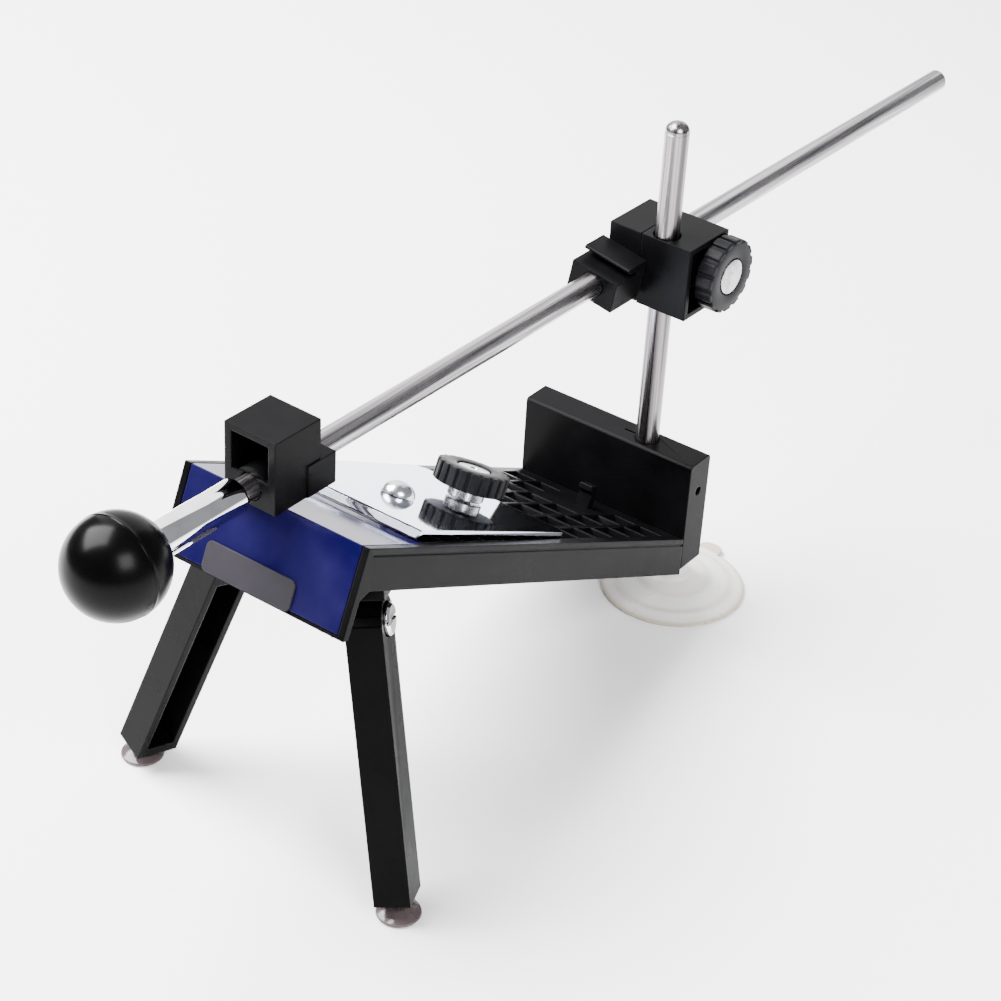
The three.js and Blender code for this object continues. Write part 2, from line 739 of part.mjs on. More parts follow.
const rodFrame = new THREE.Group();
rodFrame.name = "rod_frame";
rodFrame.position.set(rodX, 0, rodZ);
rodFrame.add(named("guide_rod", guideRod(), mats.steel));
rodFrame.add(named("chrome_sleeve", chromeSleeve(), mats.chrome));
rodFrame.add(named("ball_knob", ballKnob(), mats.gloss));
rodFrame.add(named("front_holder", frontHolder(), mats.black));
rodFrame.add(named("front_holder_screw", holderScrew(), mats.steel));
const rolled = new THREE.Group();
rolled.rotation.y = rearRoll;
rolled.add(named("rear_holder", rearHolder(), mats.black));
rolled.add(named("rear_holder_screw", rearScrew(), mats.steel));
rodFrame.add(rolled);
upright.add(rodFrame);

for (const [name, stance] of Object.entries(legStances)) {
  const leg = new THREE.Group();
  leg.name = `${name}_leg_frame`;
  leg.applyMatrix4(legFrame(stance));
  leg.add(named(`${name}_leg`, legBody(stance.side), mats.black));
  leg.add(named(`${name}_leg_screw`, legScrew(stance.side), mats.chrome));
  leg.add(named(`${name}_leg_nut`, legNut(stance.side), mats.steel));
  guide.add(leg);
  guide.add(named(`${name}_foot_cup`, footCup(stance), mats.rubber));
}

// The part stands on the ground with its box centred on the origin.
guide.updateMatrixWorld(true);
const bounds = new THREE.Box3().setFromObject(guide, true);
const middle = bounds.getCenter(new THREE.Vector3());
guide.position.set(-middle.x, -middle.y, -bounds.min.z);

export default guide;
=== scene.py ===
import json
import math

import bmesh
import bpy
from mathutils import Matrix, Vector


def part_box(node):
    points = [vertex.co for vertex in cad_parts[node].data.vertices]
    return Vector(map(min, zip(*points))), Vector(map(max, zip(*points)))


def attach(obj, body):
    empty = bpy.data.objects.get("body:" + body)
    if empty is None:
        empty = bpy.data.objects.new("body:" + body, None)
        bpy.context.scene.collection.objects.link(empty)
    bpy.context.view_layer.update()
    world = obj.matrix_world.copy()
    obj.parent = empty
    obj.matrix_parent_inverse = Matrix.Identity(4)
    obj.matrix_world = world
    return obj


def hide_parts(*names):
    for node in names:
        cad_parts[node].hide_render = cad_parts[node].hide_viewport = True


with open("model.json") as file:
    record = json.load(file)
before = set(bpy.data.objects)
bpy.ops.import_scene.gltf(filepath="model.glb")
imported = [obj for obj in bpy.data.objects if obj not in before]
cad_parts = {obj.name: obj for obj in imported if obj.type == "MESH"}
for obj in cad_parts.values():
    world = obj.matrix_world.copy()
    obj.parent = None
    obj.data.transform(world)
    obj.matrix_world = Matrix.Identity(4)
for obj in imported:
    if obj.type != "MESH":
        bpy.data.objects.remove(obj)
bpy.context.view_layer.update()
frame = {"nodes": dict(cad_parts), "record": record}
mm = 0.001
jointOf = {j["name"]: j for j in frame["record"]["behaviour"]["joints"]}
bodyOf = {n: b for b, names in frame["record"]["behaviour"]["bodies"].items() for n in names}
print("frame loaded:", len(frame["nodes"]), "nodes")


def placeFrom(xAxis, yAxis, zAxis, origin):
    m = Matrix.Identity(4)
    for i, axis in enumerate((xAxis, yAxis, zAxis)):
        m.col[i][:3] = axis
    m.col[3][:3] = origin
    return m


def middleOf(node):
    low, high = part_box(node)
    return (Vector(low) + Vector(high)) / 2


bedNormal = Vector(jointOf["plate_knob_turn"]["axis"]).normalized()
acrossBed = Vector((1, 0, 0))
upright = Vector((0, 0, 1))
bedDown = bedNormal.cross(acrossBed).normalized()
boltPoint = Vector(jointOf["plate_rock"]["pos_m"])
knobPoint = Vector(jointOf["plate_knob_turn"]["pos_m"])
# millimetres from the ridge down to the dome bolt, and from the bed up to the plate's underside
bedSizes = {"boltDown": 61.8, "plateSeat": 1.6}
boltFoot = boltPoint - bedNormal * bedSizes["plateSeat"] * mm
ridgePoint = boltFoot - bedDown * bedSizes["boltDown"] * mm
knobPlace = placeFrom(acrossBed, bedDown, bedNormal, knobPoint)
boltPlace = placeFrom(acrossBed, bedDown, bedNormal, boltFoot)

postPoint = Vector(jointOf["post_turn"]["pos_m"])
postPoint.z = 0
postPlace = Matrix.Translation(postPoint)
sideAxis = Vector(jointOf["clamp_knob_turn"]["axis"]).normalized()
clampPoint = Vector(jointOf["clamp_knob_turn"]["pos_m"])
clampPlace = placeFrom(upright * -1, upright.cross(sideAxis), sideAxis, clampPoint)
rodAxis = Vector(jointOf["rod_slide"]["axis"]).normalized()
rodMiddleToPost = 18.6  # millimetres along the rod
rodPoint = middleOf("guide_rod") + rodAxis * rodMiddleToPost * mm
rodPlace = placeFrom(upright.cross(rodAxis), upright, rodAxis, rodPoint)


def newFinish(name):
    material = bpy.data.materials.new(name)
    material.use_nodes = True
    nodes = material.node_tree.nodes
    shader = nodes["Principled BSDF"]
    coords = nodes.new("ShaderNodeTexCoord")
    return material, nodes, material.node_tree.links, shader, coords


def noiseOf(nodes, links, coords, scale, detail, stretch=(1, 1, 1)):
    place = nodes.new("ShaderNodeMapping")
    place.inputs["Scale"].default_value = stretch
    noise = nodes.new("ShaderNodeTexNoise")
    noise.inputs["Scale"].default_value = scale
    noise.inputs["Detail"].default_value = detail
    links.new(coords.outputs["Object"], place.inputs["Vector"])
    links.new(place.outputs["Vector"], noise.inputs["Vector"])
    return noise.outputs["Fac"]


def spread(nodes, links, value, low, high, fromLow=0.3, fromHigh=0.7):
    ramp = nodes.new("ShaderNodeMapRange")
    ramp.inputs["From Min"].default_value = fromLow
    ramp.inputs["From Max"].default_value = fromHigh
    ramp.inputs["To Min"].default_value = low
    ramp.inputs["To Max"].default_value = high
    links.new(value, ramp.inputs["Value"])
    return ramp.outputs["Result"]


def tint(nodes, links, value, first, second):
    mix = nodes.new("ShaderNodeMix")
    mix.data_type = "RGBA"
    mix.inputs["A"].default_value = (*first, 1)
    mix.inputs["B"].default_value = (*second, 1)
    links.new(value, mix.inputs["Factor"])
    return mix.outputs["Result"]


def bumpOf(nodes, links, height, strength, distance, before=None):
    bump = nodes.new("ShaderNodeBump")
    bump.inputs["Strength"].default_value = strength
    bump.inputs["Distance"].default_value = distance
    links.new(height, bump.inputs["Height"])
    if before:
        links.new(before, bump.inputs["Normal"])
    return bump.outputs["Normal"]


def paintFrom(nodes, links, shader, shade, patches, colours, rough):
    # shade mixes the two colours, and patches spread the roughness between its two values
    links.new(tint(nodes, links, shade, *colours), shader.inputs["Base Color"])
    links.new(spread(nodes, links, patches, *rough), shader.inputs["Roughness"])


mouldLook = {"patches": 70, "grainDepth": 0.05, "edgeRound": 0.6, "edgeSamples": 6}


def mouldedPlastic(name, dark, light, rough, grain, specular):
    material, nodes, links, shader, coords = newFinish(name)
    softEdge = nodes.new("ShaderNodeBevel")
    softEdge.samples = mouldLook["edgeSamples"]
    softEdge.inputs["Radius"].default_value = mouldLook["edgeRound"] * mm
    broad = noiseOf(nodes, links, coords, mouldLook["patches"], 5)
    fine = noiseOf(nodes, links, coords, grain, 3)
    paintFrom(nodes, links, shader, spread(nodes, links, broad, 0, 1), broad, (dark, light), rough)
    grained = bumpOf(nodes, links, fine, 0.3, mouldLook["grainDepth"] * mm, softEdge.outputs["Normal"])
    links.new(grained, shader.inputs["Normal"])
    shader.inputs["Specular IOR Level"].default_value = specular
    return material


def gloss(name, dark, light, rough, specular, wave, waveDepth, sheen=(1, 1, 1)):
    material, nodes, links, shader, coords = newFinish(name)
    broad = noiseOf(nodes, links, coords, 45, 4)
    ripple = noiseOf(nodes, links, coords, wave, 2)
    paintFrom(nodes, links, shader, spread(nodes, links, broad, 0, 1), broad, (dark, light), rough)
    links.new(bumpOf(nodes, links, ripple, 0.3, waveDepth * mm), shader.inputs["Normal"])
    shader.inputs["Specular IOR Level"].default_value = specular
    shader.inputs["Specular Tint"].default_value = (*sheen, 1)
    return material


def metal(name, dark, light, rough, stretch, lines, depth):
    # stretch draws the lines out along the axis that has the small value
    material, nodes, links, shader, coords = newFinish(name)
    drawn = noiseOf(nodes, links, coords, lines, 4, stretch)
    bands = noiseOf(nodes, links, coords, lines * 0.3, 3, stretch)
    shade = spread(nodes, links, bands, 0, 1, 0.38, 0.6)
    paintFrom(nodes, links, shader, shade, drawn, (dark, light), rough)
    links.new(bumpOf(nodes, links, drawn, 0.25, depth * mm), shader.inputs["Normal"])
    shader.inputs["Metallic"].default_value = 1.0
    return material


def ringsOf(nodes, links, coords, centre, radius, stops):
    # shades that change with the distance from an upright axis; stops are shares of the radius
    place = nodes.new("ShaderNodeMapping")
    place.inputs["Location"].default_value = (-centre[0], -centre[1], 0)
    flat = nodes.new("ShaderNodeVectorMath")
    flat.operation = "MULTIPLY"
    flat.inputs[1].default_value = (1 / radius, 1 / radius, 0)
    far = nodes.new("ShaderNodeVectorMath")
    far.operation = "LENGTH"
    ramp = nodes.new("ShaderNodeValToRGB")
    links.new(coords.outputs["Object"], place.inputs["Vector"])
    links.new(place.outputs["Vector"], flat.inputs[0])
    links.new(flat.outputs["Vector"], far.inputs[0])
    links.new(far.outputs["Value"], ramp.inputs["Fac"])
    marks = ramp.color_ramp.elements
    while len(marks) < len(stops):
        marks.new(0.5)
    for mark, (position, shade) in zip(marks, stops):
        mark.position = position
        mark.color = (shade, shade, shade, 1)
    return ramp.outputs["Color"]


def softClear(name, colour, edge, transmission, rough, rings=None):
    material, nodes, links, shader, coords = newFinish(name)
    cloud = noiseOf(nodes, links, coords, 120, 4)
    ripple = noiseOf(nodes, links, coords, 500, 3)
    shade = ringsOf(nodes, links, coords, *rings) if rings else spread(nodes, links, cloud, 0, 1)
    paintFrom(nodes, links, shader, shade, cloud, (colour, edge), rough)
    links.new(bumpOf(nodes, links, ripple, 0.15, 0.05 * mm), shader.inputs["Normal"])
    shader.inputs["Transmission Weight"].default_value = transmission
    shader.inputs["IOR"].default_value = 1.4
    return material


# the rear cup in millimetres; its painted shade rings are pairs of a share of the radius and a shade, laying
# painted bands of light and shade and a darker painted rim on the clear cup
cup = {"radius": 25.8, "sides": 128}
cupMiddle = middleOf("cup_stud")
cupPaintedShadeRings = [(0.0, 0.5), (0.22, 0.35), (0.4, 0.15), (0.5, 0.45), (0.58, 0.1), (0.72, 0.12), (0.79, 0.6),
            (0.86, 0.1), (0.94, 0.3), (0.99, 1.0)]
finishList = [
    mouldedPlastic("charcoalPlastic", (0.0014, 0.0014, 0.0016), (0.003, 0.003, 0.0034),
                   (0.26, 0.38), grain=2600, specular=0.03),
    mouldedPlastic("legPlastic", (0.0008, 0.0008, 0.0009), (0.0018, 0.0018, 0.002),
                   (0.24, 0.36), grain=2600, specular=0.026),
    mouldedPlastic("knobPlastic", (0.0035, 0.0035, 0.0042), (0.008, 0.008, 0.0094),
                   (0.36, 0.5), grain=3200, specular=0.07),
    gloss("royalBlue", (0.0022, 0.001, 0.024), (0.009, 0.007, 0.04), (0.08, 0.2),
          specular=0.08, wave=160, waveDepth=0.02, sheen=(0.42, 0.42, 0.66)),
    mouldedPlastic("labelGrey", (0.014, 0.0125, 0.016), (0.019, 0.017, 0.0215),
                   (0.5, 0.6), grain=3000, specular=0.1),
    metal("mirrorPlate", (0.5, 0.53, 0.61), (0.57, 0.6, 0.68), (0.03, 0.07), (1, 0.05, 1),
          lines=2500, depth=0.002),
    metal("satinBolt", (0.62, 0.62, 0.66), (0.72, 0.72, 0.76), (0.16, 0.26), (1, 1, 1),
          lines=1800, depth=0.003),
    metal("brightChrome", (0.8, 0.8, 0.82), (0.9, 0.9, 0.92), (0.03, 0.06), (1, 1, 1),
          lines=600, depth=0.001),
    metal("drawnSteel", (0.15, 0.14, 0.145), (0.42, 0.4, 0.41), (0.2, 0.36), (1, 0.008, 1),
          lines=2600, depth=0.008),
    metal("postSteel", (0.09, 0.082, 0.084), (0.27, 0.25, 0.255), (0.2, 0.36), (1, 1, 0.008),
          lines=2600, depth=0.008),
    metal("turnedSteel", (0.3, 0.29, 0.29), (0.46, 0.45, 0.45), (0.2, 0.34), (1, 1, 1),
          lines=1500, depth=0.004),
    gloss("glossBlack", (0.0004, 0.0004, 0.0005), (0.0009, 0.0009, 0.001), (0.2, 0.3),
          specular=0.06, wave=900, waveDepth=0.012),
    # the milky cup's colour follows the painted shade rings: painted light and shade in bands round its
    # middle, darkest at the rim
    softClear("milkyCup", (0.88, 0.87, 0.86), (0.52, 0.46, 0.37), 0.12, (0.25, 0.4),
              (cupMiddle, cup["radius"] * mm, cupPaintedShadeRings)),
    # the clear foot rubber's base colour is darkened as painted shade, standing in for the dark leg above
    # the cup
    softClear("footPaintedShade", (0.12, 0.09, 0.095), (0.08, 0.06, 0.06), 0.4, (0.12, 0.25)),
]
finishes = {finish.name: finish for finish in finishList}
print("finishes made:", len(finishes))


def addPiece(name, mesh, material, body, nodes=()):
    piece = bpy.data.objects.new(name, mesh)
    bpy.context.scene.collection.objects.link(piece)
    piece.data.materials.clear()
    piece.data.materials.append(finishes[material])
    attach(piece, body)
    if nodes:
        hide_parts(*nodes)
    return piece


# the angles, in degrees, above which an edge is shown sharp and a CAD edge is rounded
edges = {"sharpAngle": 32, "roundAngle": 38, "segments": 3}


def shadeByAngle(mesh):
    mesh.shade_smooth()
    mesh.set_sharp_from_angle(angle=math.radians(edges["sharpAngle"]))


def meshFrom(work, name):
    mesh = bpy.data.meshes.new(name)
    work.to_mesh(mesh)
    work.free()
    shadeByAngle(mesh)
    return mesh


def roundEdges(piece, width, segments):
    bevel = piece.modifiers.new("roundedEdges", "BEVEL")
    bevel.width = width * mm
    bevel.segments = segments
    return bevel


def turnedMesh(name, profile, sides, place):
    # profile: radius and height in millimetres; a radius of 0 is a pole
    work = bmesh.new()
    rings = []
    for radius, height in profile:
        if radius < 1e-6:
            rings.append([work.verts.new((0, 0, height * mm))])
        else:
            rings.append([
                work.verts.new((radius * mm * math.cos(a), radius * mm * math.sin(a), height * mm))
                for a in (math.tau * i / sides for i in range(sides))])
    for low, high in zip(rings, rings[1:] + rings[:1]):
        if len(low) == 1 and len(high) == 1:
            continue
        for i in range(sides):
            j = (i + 1) % sides
            if len(low) == 1:
                work.faces.new((low[0], high[j], high[i]))
            elif len(high) == 1:
                work.faces.new((low[i], low[j], high[0]))
            else:
                work.faces.new((low[i], low[j], high[j], high[i]))
    bmesh.ops.recalc_face_normals(work, faces=work.faces)
    work.transform(place)
    return meshFrom(work, name)


def dressNode(node, name, material, width):
    # a merged copy of the CAD solid with rounded edges
    work = bmesh.new()
    work.from_mesh(frame["nodes"][node].data)
    bmesh.ops.remove_doubles(work, verts=work.verts, dist=2e-6)
    bmesh.ops.dissolve_limit(work, angle_limit=math.radians(0.6), verts=work.verts, edges=work.edges)
    piece = addPiece(name, meshFrom(work, name), material, bodyOf[node], (node,))
    bevel = roundEdges(piece, width, edges["segments"])
    bevel.limit_method = "ANGLE"
    bevel.angle_limit = math.radians(edges["roundAngle"])
    bevel.harden_normals = True


def groupInput(tree, name, kind, value):
    socket = tree.interface.new_socket(name=name, in_out="INPUT", socket_type=kind)
    socket.default_value = value
    return socket.identifier


def ribTree():
    # ribs set round a knob: a bar stands on each point of a circle and faces outwards
    tree = bpy.data.node_groups.new("knobRibs", "GeometryNodeTree")
    tree.interface.new_socket(name="Geometry", in_out="INPUT", socket_type="NodeSocketGeometry")
    tree.interface.new_socket(name="Geometry", in_out="OUTPUT", socket_type="NodeSocketGeometry")
    sockets = {
        "count": groupInput(tree, "Rib Count", "NodeSocketInt", 20),
        "radius": groupInput(tree, "Rib Circle Radius", "NodeSocketFloat", 0.01),
        "width": groupInput(tree, "Rib Width", "NodeSocketFloat", 0.002),
        "depth": groupInput(tree, "Rib Depth", "NodeSocketFloat", 0.002),
        "height": groupInput(tree, "Rib Height", "NodeSocketFloat", 0.006),
        "finish": tree.interface.new_socket(name="Finish", in_out="INPUT",
                                            socket_type="NodeSocketMaterial").identifier,
    }
    nodes, links = tree.nodes, tree.links
    given = nodes.new("NodeGroupInput")
    result = nodes.new("NodeGroupOutput")
    circle = nodes.new("GeometryNodeMeshCircle")
    size = nodes.new("ShaderNodeCombineXYZ")
    bar = nodes.new("GeometryNodeMeshCube")
    place = nodes.new("GeometryNodeInputPosition")
    turn = nodes.new("FunctionNodeAlignRotationToVector")
    stand = nodes.new("GeometryNodeInstanceOnPoints")
    real = nodes.new("GeometryNodeRealizeInstances")
    paint = nodes.new("GeometryNodeSetMaterial")
    links.new(given.outputs["Rib Count"], circle.inputs["Vertices"])
    links.new(given.outputs["Rib Circle Radius"], circle.inputs["Radius"])
    links.new(given.outputs["Rib Depth"], size.inputs["X"])
    links.new(given.outputs["Rib Width"], size.inputs["Y"])
    links.new(given.outputs["Rib Height"], size.inputs["Z"])
    links.new(size.outputs["Vector"], bar.inputs["Size"])
    turn.axis = "X"
    turn.pivot_axis = "Z"
    links.new(place.outputs["Position"], turn.inputs["Vector"])
    links.new(circle.outputs["Mesh"], stand.inputs["Points"])
    links.new(bar.outputs["Mesh"], stand.inputs["Instance"])
    links.new(turn.outputs["Rotation"], stand.inputs["Rotation"])
    links.new(stand.outputs["Instances"], real.inputs["Geometry"])
    links.new(real.outputs["Geometry"], paint.inputs["Geometry"])
    links.new(given.outputs["Finish"], paint.inputs["Material"])
    links.new(paint.outputs["Geometry"], result.inputs["Geometry"])
    return tree, sockets


ribs, ribSockets = ribTree()


def ribRing(name, settings, material, place, body):
    carrier = bpy.data.objects.new(name + "Maker", bpy.data.meshes.new(name + "Maker"))
    bpy.context.scene.collection.objects.link(carrier)
    maker = carrier.modifiers.new("ribs", "NODES")
    maker.node_group = ribs
    for key in ("count", "radius", "width", "depth", "height"):
        value = settings[key]
        maker[ribSockets[key]] = value if key == "count" else value * mm
    maker[ribSockets["finish"]] = finishes[material]
    view = bpy.context.evaluated_depsgraph_get()
    mesh = bpy.data.meshes.new_from_object(carrier.evaluated_get(view))
    bpy.data.objects.remove(carrier)
    mesh.transform(Matrix.Translation((0, 0, settings["middle"] * mm)))
    mesh.transform(place)
    mesh.name = name
    shadeByAngle(mesh)
    piece = addPiece(name, mesh, material, body)
    roundEdges(piece, settings["round"], edges["segments"]).harden_normals = True


# CAD node: piece, finish and edge rounding in millimetres
dressed = {
    "tray": ("trayShell", "charcoalPlastic", 0.45),
    "post_block": ("rearBlock", "charcoalPlastic", 0.7),
    "apron_cover": ("blueCover", "royalBlue", 0.3),
    "apron_badge": ("blankLabel", "labelGrey", 0.12),
    "clamp_plate": ("clampPlate", "mirrorPlate", 0.4),
    "plate_bolt_nut": ("boltNut", "turnedSteel", 0.25),
    "blade_stop": ("bladeStop", "charcoalPlastic", 0.3),
    "post_screw": ("postLockScrew", "turnedSteel", 0.1),
    "cup_bracket": ("cupBracket", "charcoalPlastic", 0.4),
    "bracket_screw": ("bracketScrew", "turnedSteel", 0.2),
    "cup_nut": ("cupNut", "turnedSteel", 0.25),
    "carriage_block": ("carriageBlock", "charcoalPlastic", 0.5),
    "clamp_shoe": ("clampShoe", "charcoalPlastic", 0.3),
    "swivel_block": ("swivelBlock", "charcoalPlastic", 0.5),
    "swivel_pin": ("swivelPin", "turnedSteel", 0.2),
    "front_holder": ("frontHolder", "charcoalPlastic", 0.7),
    "front_holder_screw": ("frontHolderScrew", "turnedSteel", 0.15),
    "rear_holder": ("rearHolder", "charcoalPlastic", 0.3),
    "rear_holder_screw": ("rearHolderScrew", "turnedSteel", 0.1),
    "right_leg": ("rightLeg", "legPlastic", 0.5),
    "left_leg": ("leftLeg", "legPlastic", 0.5),
    "right_leg_screw": ("rightLegScrew", "brightChrome", 0.2),
    "left_leg_screw": ("leftLegScrew", "brightChrome", 0.2),
    "right_leg_nut": ("rightLegNut", "turnedSteel", 0.25),
    "left_leg_nut": ("leftLegNut", "turnedSteel", 0.25),
}
for node, (name, material, width) in dressed.items():
    dressNode(node, name, material, width)
print("moulded pieces dressed:", len(dressed))

# the rod's ends are measured from the post along the rod, the post's from the ground
rod = {"radius": 4.0, "front": -241.2, "back": 204.0, "sides": 72}
thick, tip = rod["radius"], rod["back"]
addPiece("guideRodBar", turnedMesh("guideRodBar", [
    (0, rod["front"]), (thick, rod["front"]), (thick, tip - 1.1), (thick - 0.25, tip - 0.6),
    (thick - 0.9, tip), (0, tip)], rod["sides"], rodPlace), "drawnSteel", "rod", ("guide_rod",))

post = {"radius": 4.0, "bottom": 27.0, "top": 182.9, "dome": 3.4, "groove": 0.12, "sides": 72}
thick, top, foot = post["radius"], post["top"], post["bottom"]
dome = [(thick * math.cos(a), top - post["dome"] * (1 - math.sin(a)))
        for a in (math.radians(9 * i) for i in range(1, 10))]
addPiece("guidePostBar", turnedMesh("guidePostBar", [
    (0, foot), (thick - 0.5, foot), (thick, foot + 0.5), (thick, top - 3.7),
    (thick - post["groove"], top - 3.6), (thick - post["groove"], top - 3.45)] + dome + [(0, top)],
    post["sides"], postPlace), "postSteel", "post", ("guide_post",))
print("bars turned")

# heights along the rod from the post; the flat and the bore face the sleeve
handle = {"centre": -237.2, "radius": 15.47, "seam": 0.12, "flat": 14.6, "bore": 4.2, "boreEnd": -4.4,
          "steps": 44, "sides": 96}


def ballOutline(h):
    wide, skin = h["radius"], h["radius"] - h["seam"]
    stopAngle = math.acos(h["flat"] / wide)
    angles = [math.pi - (math.pi - stopAngle) * i / h["steps"] for i in range(1, h["steps"] + 1)]
    curve = [(0, -wide)] + [(wide * math.sin(a) - h["seam"], wide * math.cos(a)) for a in angles]
    partingLine = [(skin, -0.35), (wide, -0.14), (wide, 0.14), (skin, 0.35)]
    seat = h["flat"] - 0.6
    socket = [(5.9, h["flat"]), (5.7, seat), (h["bore"], seat), (h["bore"], h["boreEnd"]), (0, h["boreEnd"])]
    lower = [point for point in curve if point[1] < -0.5]
    upper = [point for point in curve if point[1] > 0.5]
    return [(radius, height + h["centre"]) for radius, height in lower + partingLine + upper + socket]


addPiece("ballHandle", turnedMesh("ballHandle", ballOutline(handle), handle["sides"], rodPlace),
         "glossBlack", "rod", ("ball_knob",))

sleeve = {"back": -222.3, "open": -190.6, "outer": 5.5, "inner": 4.3, "mouth": 4.8, "mouthDepth": 7,
          "sides": 80}
wide, inner, mouth, lip = sleeve["outer"], sleeve["inner"], sleeve["mouth"], sleeve["open"]
deep = lip - sleeve["mouthDepth"]
addPiece("chromeSleeve", turnedMesh("chromeSleeve", [
    (inner, sleeve["back"]), (wide, sleeve["back"]), (wide, lip - 1.2), (wide - 0.12, lip - 0.6),
    (wide - 0.4, lip - 0.12), (mouth + 0.1, lip), (mouth, lip - 0.3), (mouth - 0.1, deep), (inner, deep)],
    sleeve["sides"], rodPlace), "brightChrome", "rod", ("chrome_sleeve",))
print("handle turned")

# heights above the bed
bolt = {"seat": 3.1, "radius": 5.4, "height": 4.2, "shank": 2.0, "end": -10.0, "sides": 64}
boltDome = [(bolt["radius"] * math.cos(a), bolt["seat"] + bolt["height"] * math.sin(a))
            for a in (math.radians(7.5 * i) for i in range(12))]
addPiece("domeBolt", turnedMesh("domeBolt", [
    (0, bolt["end"]), (bolt["shank"], bolt["end"]), (bolt["shank"], bolt["seat"])] + boltDome
    + [(0, bolt["seat"] + bolt["height"])], bolt["sides"], boltPlace), "satinBolt", "base", ("plate_bolt",))


def knobCore(name, knob, place, body, node):
    core, top, well, bore = knob["core"], knob["top"], knob["well"], knob["bore"]
    wellFloor = top - knob["wellDepth"]
    addPiece(name, turnedMesh(name, [
        (bore, knob["bottom"]), (core, knob["bottom"]), (core, top - 0.5), (core - 0.15, top - 0.15),
        (core - 0.5, top), (well + 0.5, top), (well + 0.1, top - 0.2), (well, top - 0.6),
        (well, wellFloor), (bore, wellFloor)], 80, place), "knobPlastic", body, (node,))


# each knob: its ribs, their middle height, then the core and the well for the silver insert
plateKnob = {"count": 20, "radius": 10.8, "width": 2.5, "depth": 2.2, "height": 6.5, "round": 0.5,
             "middle": 9.55, "core": 11.15, "bottom": 6.2, "top": 12.9, "well": 5.7, "wellDepth": 2,
             "bore": 2.6}
knobCore("plateKnobCore", plateKnob, knobPlace, "plate_screw", "plate_knob")
ribRing("plateKnobRibs", plateKnob, "knobPlastic", knobPlace, "plate_screw")
stud = {"shank": 2.2, "end": -11, "neckLow": 2.6, "neckHigh": 5.9, "neck": 6, "cap": 5.4, "capDown": 0.4}
shank, neck, cap, capTop = stud["shank"], stud["neck"], stud["cap"], plateKnob["top"] - stud["capDown"]
addPiece("plateKnobStud", turnedMesh("plateKnobStud", [
    (0, stud["end"]), (shank, stud["end"]), (shank, stud["neckLow"]), (neck - 0.3, stud["neckLow"]),
    (neck, stud["neckLow"] + 0.3), (neck, stud["neckHigh"] - 0.3), (neck - 0.3, stud["neckHigh"]),
    (shank, stud["neckHigh"]), (shank, capTop - 1.3), (cap, capTop - 1.3), (cap, capTop - 0.35),
    (cap - 0.3, capTop - 0.05), (1.5, capTop), (1.1, capTop - 0.5), (0, capTop - 0.5)], 64, knobPlace),
    "turnedSteel", "plate_screw", ("plate_knob_stud",))

clampKnob = {"count": 15, "radius": 11.4, "width": 3.6, "depth": 2.5, "height": 6.3, "round": 0.6,
             "middle": 16.1, "core": 11.85, "bottom": 12.9, "top": 19.3, "well": 6.3, "wellDepth": 1.6,
             "bore": 2.6}
knobCore("clampKnobCore", clampKnob, clampPlace, "carriage_screw", "clamp_knob")
ribRing("clampKnobRibs", clampKnob, "knobPlastic", clampPlace, "carriage_screw")
insert = {"shank": 2.1, "under": 18, "radius": 6, "top": 19.45}
shank, under, wide, top = insert["shank"], insert["under"], insert["radius"], insert["top"]
addPiece("clampStud", turnedMesh("clampStud", [
    (0, 0), (shank, 0), (shank, under), (wide, under), (wide, top - 0.35), (wide - 0.1, top - 0.13),
    (wide - 0.4, top), (0, top)], 64, clampPlace), "turnedSteel", "carriage_screw", ("clamp_stud",))
print("knobs made")

# the rear cup: hollow underside, thin lip, two steps up to the neck, its collar and the screw's bore
cupPlace = Matrix.Translation((cupMiddle.x, cupMiddle.y, 0))
w = cup["radius"]
addPiece("rearSuctionCup", turnedMesh("rearSuctionCup", [
    (0, 2.6), (w * 0.45, 2.3), (w * 0.8, 1.1), (w * 0.93, 0.45), (w - 0.6, 0.02), (w - 0.15, 0.12),
    (w, 0.45), (w - 0.1, 0.85), (w * 0.97, 1.15), (w * 0.9, 1.7), (w * 0.84, 2.25), (w * 0.82, 2.6),
    (w * 0.8, 2.7), (w * 0.76, 2.85), (w * 0.72, 3.25), (w * 0.66, 3.75), (w * 0.56, 4.35),
    (w * 0.47, 4.75), (w * 0.45, 5.1), (w * 0.42, 5.3), (w * 0.34, 5.55), (7.2, 5.75), (6.5, 6.0),
    (6.2, 6.5), (5.9, 7.1), (5.0, 7.6), (4.6, 8.3), (4.5, 15.2), (5.0, 15.9), (5.6, 16.5),
    (5.6, 18.2), (5.3, 18.6), (2.4, 18.6), (2.4, 11), (0, 11)],
    cup["sides"], cupPlace), "milkyCup", "base", ("rear_cup",))

# the tab starts inside the cup's lip and ends round, at an angle round the cup in degrees
tab = {"angle": 92, "start": 24.2, "end": 30.1, "half": 4.4, "low": 0.5, "high": 1.6, "roundStart": 27.3,
       "steps": 16, "edge": 0.35}


def pullTabMesh(t):
    reach = t["end"] - t["roundStart"]
    outline = [(t["start"], -t["half"])]
    for i in range(t["steps"] + 1):
        a = -math.pi / 2 + math.pi * i / t["steps"]
        outline.append((t["roundStart"] + reach * math.cos(a), t["half"] * math.sin(a)))
    outline.append((t["start"], t["half"]))
    work = bmesh.new()
    face = work.faces.new([work.verts.new((x * mm, y * mm, t["low"] * mm)) for x, y in outline])
    grown = bmesh.ops.extrude_face_region(work, geom=[face])
    for item in grown["geom"]:
        if isinstance(item, bmesh.types.BMVert):
            item.co.z = t["high"] * mm
    bmesh.ops.recalc_face_normals(work, faces=work.faces)
    work.transform(cupPlace @ Matrix.Rotation(math.radians(t["angle"]), 4, "Z"))
    return meshFrom(work, "cupPullTab")


roundEdges(addPiece("cupPullTab", pullTabMesh(tab), "milkyCup", "base"), tab["edge"], 2)

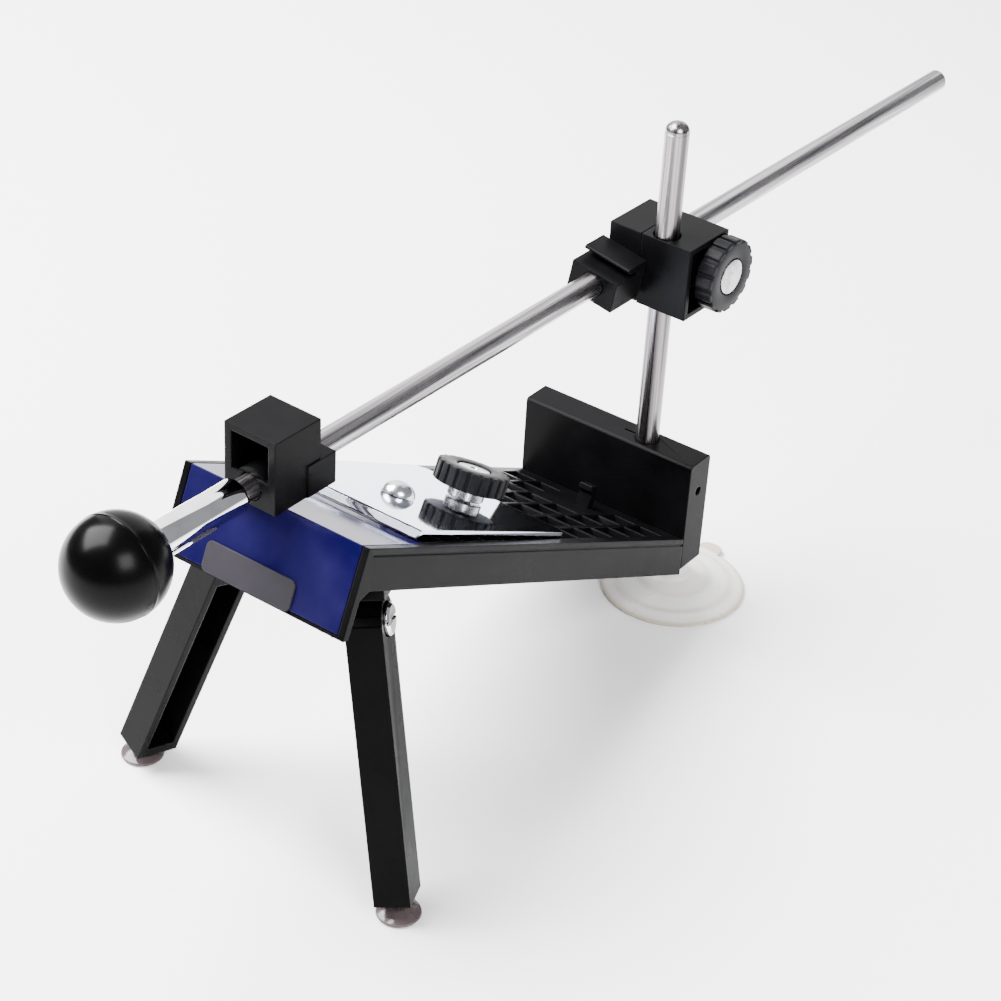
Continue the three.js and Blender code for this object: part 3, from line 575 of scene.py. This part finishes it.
cupScrew = {"radius": 2, "low": 11.4, "high": 29}
thick, low, high = cupScrew["radius"], cupScrew["low"], cupScrew["high"]
addPiece("cupStud", turnedMesh("cupStud", [
    (0, low), (thick - 0.3, low), (thick, low + 0.4), (thick, high - 0.4), (thick - 0.3, high), (0, high)],
    40, cupPlace), "turnedSteel", "base", ("cup_stud",))

footCup = {"radius": 7.0, "sides": 72, "stem": 1.9, "stemLow": 2.2, "stemHigh": 7.8}


def makeFoot(side, f):
    # the cup stands level on the ground, and its stem points along the leg
    low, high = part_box(side + "_foot_cup")
    pivot = Vector(jointOf[side + "_leg_fold"]["pos_m"])
    w = f["radius"]
    soleX = high[0] - w * mm if side == "right" else low[0] + w * mm
    sole = Vector((soleX, low[1] + w * mm, 0))
    addPiece(side + "FootCup", turnedMesh(side + "FootCup", [
        (0, 1.4), (w * 0.6, 0.9), (w - 0.5, 0.02), (w - 0.12, 0.1), (w, 0.4), (w * 0.97, 0.95),
        (w * 0.85, 1.45), (w * 0.7, 2.0), (w * 0.55, 2.4), (3.4, 2.65), (2.9, 2.9), (2.5, 3.1), (0, 3.1)],
        f["sides"], Matrix.Translation(sole)), "footPaintedShade", "leg_" + side, (side + "_foot_cup",))
    legUp = (pivot - sole).normalized()
    cross = acrossBed.cross(legUp).normalized()
    stemPlace = placeFrom(cross.cross(legUp), cross, legUp, sole)
    addPiece(side + "FootStem", turnedMesh(side + "FootStem", [
        (0, f["stemLow"]), (f["stem"], f["stemLow"]), (f["stem"], f["stemHigh"] - 0.4),
        (f["stem"] - 0.4, f["stemHigh"]), (0, f["stemHigh"])], 40, stemPlace), "footPaintedShade", "leg_" + side)


for side in ("right", "left"):
    makeFoot(side, footCup)
print("cups turned")

studio = {"floor": (0.92, 0.92, 0.93), "air": (0.95, 0.96, 1.0), "airStrength": 0.4,
          "reach": 6, "drop": 0.0004}
work = bmesh.new()
bmesh.ops.create_grid(work, x_segments=2, y_segments=2, size=studio["reach"])
floor = bpy.data.objects.new("studioFloor", meshFrom(work, "studioFloor"))
bpy.context.scene.collection.objects.link(floor)
floor.location.z = -studio["drop"]
paperMaterial, _, _, paperShader, _ = newFinish("studioPaper")
paperShader.inputs["Base Color"].default_value = (*studio["floor"], 1)
paperShader.inputs["Roughness"].default_value = 0.9
paperShader.inputs["Specular IOR Level"].default_value = 0.1
floor.data.materials.append(paperMaterial)

world = bpy.data.worlds.new("studioAir")
bpy.context.scene.world = world
world.use_nodes = True
air = world.node_tree.nodes["Background"]
air.inputs["Color"].default_value = (*studio["air"], 1)
air.inputs["Strength"].default_value = studio["airStrength"]
lampAim = Vector((0, 0, 0.05))


def softLight(name, place, size, power):
    data = bpy.data.lights.new(name, "AREA")
    data.energy = power
    data.shape = "RECTANGLE"
    data.size = size
    data.size_y = size
    lamp = bpy.data.objects.new(name, data)
    bpy.context.scene.collection.objects.link(lamp)
    lamp.location = place
    lamp.rotation_euler = (lampAim - lamp.location).to_track_quat("-Z", "Y").to_euler()


# lamp: place in metres, size in metres, power in watts
lamps = {
    "keyBox": ((-0.75, -0.35, 1.25), 1.1, 150),
    "sideBox": ((1.1, -0.55, 1.1), 0.7, 40),
    "backBox": ((-1.05, 1.55, 1.15), 2.4, 50),
}
for name, (place, size, power) in lamps.items():
    softLight(name, place, size, power)

# angles in degrees; the stand is in millimetres from the ground below the tray's ridge
lens = {"azimuth": 34.82, "elevation": 33.45, "roll": 3.53, "focal": 89.95, "sensor": 36,
        "stand": (388.237, -446.791, 516.414)}
az, el, roll = (math.radians(lens[key]) for key in ("azimuth", "elevation", "roll"))
level = Vector((math.cos(az), math.sin(az), 0))
rise = Vector((-math.sin(az) * math.sin(el), math.cos(az) * math.sin(el), math.cos(el)))
ahead = Vector((-math.sin(az) * math.cos(el), math.cos(az) * math.cos(el), -math.sin(el)))
right = level * math.cos(roll) + rise * math.sin(roll)
up = rise * math.cos(roll) - level * math.sin(roll)
camera = bpy.data.objects.new("viewCamera", bpy.data.cameras.new("viewCamera"))
bpy.context.scene.collection.objects.link(camera)
camera.data.sensor_width = lens["sensor"]
camera.data.lens = lens["focal"]
camera.data.clip_start = 0.01
camera.data.clip_end = 20
ridgeShift = Vector((ridgePoint.x, ridgePoint.y, 0))
camera.matrix_world = placeFrom(right, up, -ahead, Vector(lens["stand"]) * mm + ridgeShift)
bpy.context.scene.camera = camera
print("floor, lights and camera set")
